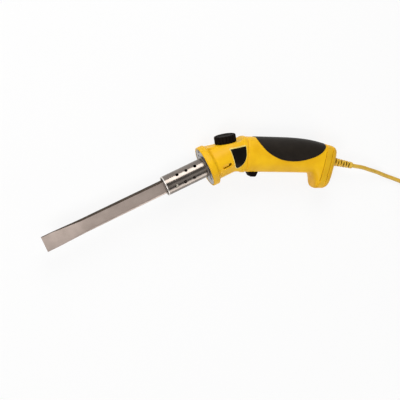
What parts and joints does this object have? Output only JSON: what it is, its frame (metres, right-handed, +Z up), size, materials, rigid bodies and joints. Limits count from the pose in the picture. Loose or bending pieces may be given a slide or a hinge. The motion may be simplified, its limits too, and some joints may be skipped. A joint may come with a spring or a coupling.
{
  "type": "electric hot knife",
  "caption": "Hand-held electric hot knife: flattened tube blade in a perforated sleeve, bent housing with control dial, trigger, rubber grip and coiled mains cord.",
  "frame": {"origin": "on the surface that the tool lies on, under the middle of the tool's box without its free cord", "axes": "+X to the handle's tail, +Y to the dial side, +Z up to the tool's left side"},
  "size_m": [0.6532, 0.2316, 0.0593],
  "materials": {
    "yellow_plastic": "glossy moulded plastic",
    "black_rubber": "soft matt rubber",
    "black_plastic": "satin moulded plastic",
    "bright_sleeve": "polished",
    "bright_plate": "bright",
    "blade_steel": "warm satin",
    "steel": "plain",
    "aluminium": "plain",
    "ceramic": "unglazed, stands in for ceramic",
    "copper": "insulated or enamelled copper",
    "board": "resist-coated board",
    "film": "dipped",
    "cord_sheath": "satin flexible sheath"
  },
  "bodies": {
    "tool": {"front_housing": "yellow_plastic", "handle_shell_left": "yellow_plastic", "handle_shell_right": "yellow_plastic", "grip_left": "black_rubber", "grip_right": "black_rubber", "housing_screws": "steel", "badge_left": "black_plastic", "badge_right": "black_plastic", "vent_plate": "bright_plate", "vent_plate_screws": "bright_plate", "heat_sleeve": "bright_sleeve", "mouth_spacer": "ceramic", "blade": "blade_steel", "heater_core": "ceramic", "heater_winding": "steel", "heater_seal": "ceramic", "heater_leads": "copper", "ceramic_disc": "ceramic", "blade_collar": "steel", "collar_screws": "steel", "terminal_block": "ceramic", "terminal_screw": "steel", "feed_leads": "copper", "potentiometer": "steel", "pot_nut": "steel", "trigger_spring": "steel", "trigger_switch": "black_plastic", "fan_motor": "steel", "fan_mount": "black_plastic", "control_board": "board", "triac": "black_plastic", "heat_sink": "aluminium", "capacitor": "film", "choke": "copper", "mains_connector": "ceramic", "mains_leads": "copper", "cord_clamp": "black_plastic", "cord_clamp_screws": "steel", "cord_inner": "cord_sheath", "strain_relief": "yellow_plastic", "cord_lead": "cord_sheath", "cord_coil": "cord_sheath", "cord_tail": "cord_sheath", "cord_tie": "black_rubber", "plug_body": "cord_sheath", "plug_pins": "steel"},
    "dial": {"dial": "black_plastic", "dial_shaft": "steel"},
    "trigger": {"trigger": "black_plastic", "trigger_plunger": "ceramic"},
    "fan": {"fan_impeller": "black_plastic", "fan_shaft": "steel"}
  },
  "joints": [
    {"name": "dial_turn", "type": "hinge", "parent": "tool", "child": "dial", "pos_m": [0.04427, 0.07112, 0.02846], "axis": [-0.2315, 0.9728, 0.0113], "range_deg": [0, 280]},
    {"name": "trigger_slide", "type": "slide", "parent": "tool", "child": "trigger", "axis": [0, 1, 0], "range_m": [0, 0.004], "stiffness_N_per_m": 1500, "springref_m": -0.002, "deforming": ["trigger_spring"]},
    {"name": "fan_spin", "type": "hinge", "parent": "tool", "child": "fan", "pos_m": [0.11019, 0.05557, 0.02524], "axis": [0.9988, 0, -0.0488], "continuous": true}
  ]
}
